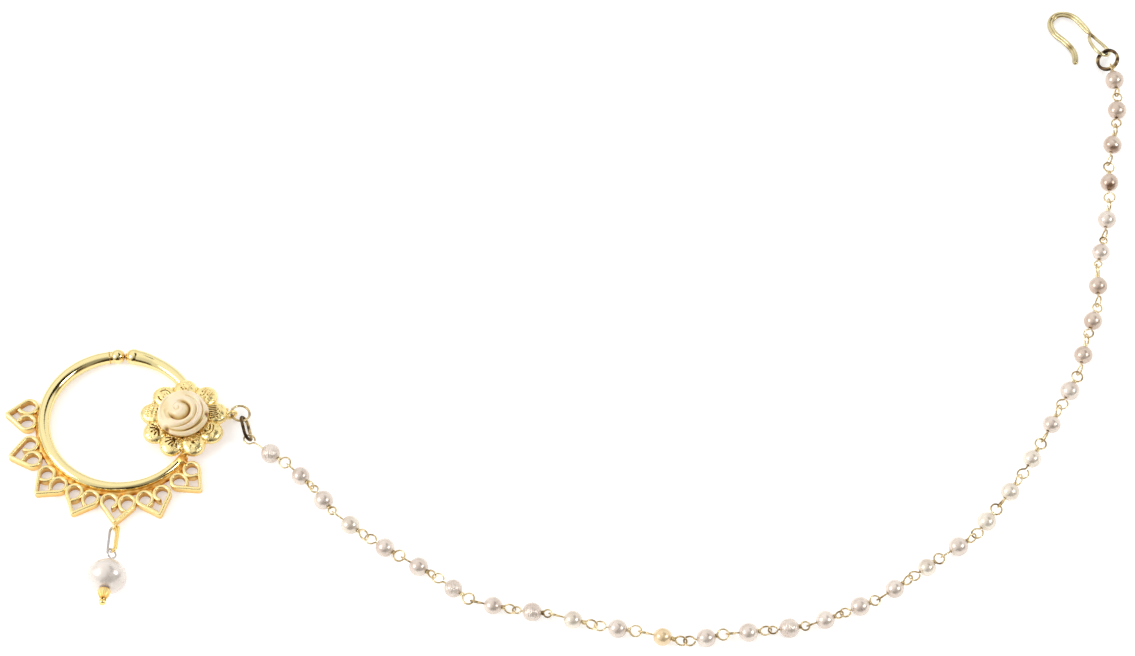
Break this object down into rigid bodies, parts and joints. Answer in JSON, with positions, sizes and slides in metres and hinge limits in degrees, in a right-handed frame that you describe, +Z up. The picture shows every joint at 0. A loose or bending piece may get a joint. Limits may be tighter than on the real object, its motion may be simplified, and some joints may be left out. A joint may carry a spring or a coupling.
{
  "type": "nath nose ring",
  "caption": "Bridal nose ring: an open hoop edged with scroll hearts, a carved rose in a petalled setting, a pearl drop, and a pearl chain that ends in a hair hook",
  "frame": {"origin": "the middle of the hoop, on the surface that the nath lies on", "axes": "+X runs from the hoop to the hair hook, along the longest extent; +Z points up, out of the front of the jewel; +Y completes the right-handed frame and points to the hoop's open top"},
  "size_m": [0.1752, 0.1153, 0.006],
  "materials": {
    "gold": "polished gold-toned metal, darkened in the recesses",
    "dark_brass": "antique brass, worn bright on its outer turns",
    "wire": "thin oxidised wire",
    "pearl": "pearl lustre, mauve to silver white",
    "carved_stone": "satin pinkish ivory, ochre in the grooves"
  },
  "bodies": {
    "root": {"nath_frame": "gold", "carved_rose": "carved_stone", "drop_ring": "gold", "drop_pearl": "pearl", "drop_bead": "gold", "drop_pin": "gold", "chain_ring": "wire", "chain_link": "dark_brass", "chain_wires_odd": "wire", "chain_wires_even": "wire", "end_ring": "dark_brass", "hair_hook": "gold", "pearl_01": "pearl", "pearl_02": "pearl", "pearl_03": "pearl", "pearl_04": "pearl", "pearl_05": "pearl", "pearl_06": "pearl", "pearl_07": "pearl", "pearl_08": "pearl", "pearl_09": "pearl", "pearl_10": "pearl", "pearl_11": "pearl", "pearl_12": "pearl", "pearl_13": "pearl", "pearl_14": "pearl", "pearl_15": "pearl", "pearl_16": "pearl", "pearl_17": "pearl", "pearl_18": "pearl", "pearl_19": "pearl", "pearl_20": "pearl", "pearl_21": "pearl", "pearl_22": "pearl", "pearl_23": "pearl", "pearl_24": "pearl", "pearl_25": "pearl", "pearl_26": "pearl", "pearl_27": "pearl", "pearl_28": "pearl", "pearl_29": "pearl", "pearl_30": "pearl", "pearl_31": "pearl", "pearl_32": "pearl", "pearl_33": "pearl", "pearl_34": "pearl"}
  },
  "joints": []
}
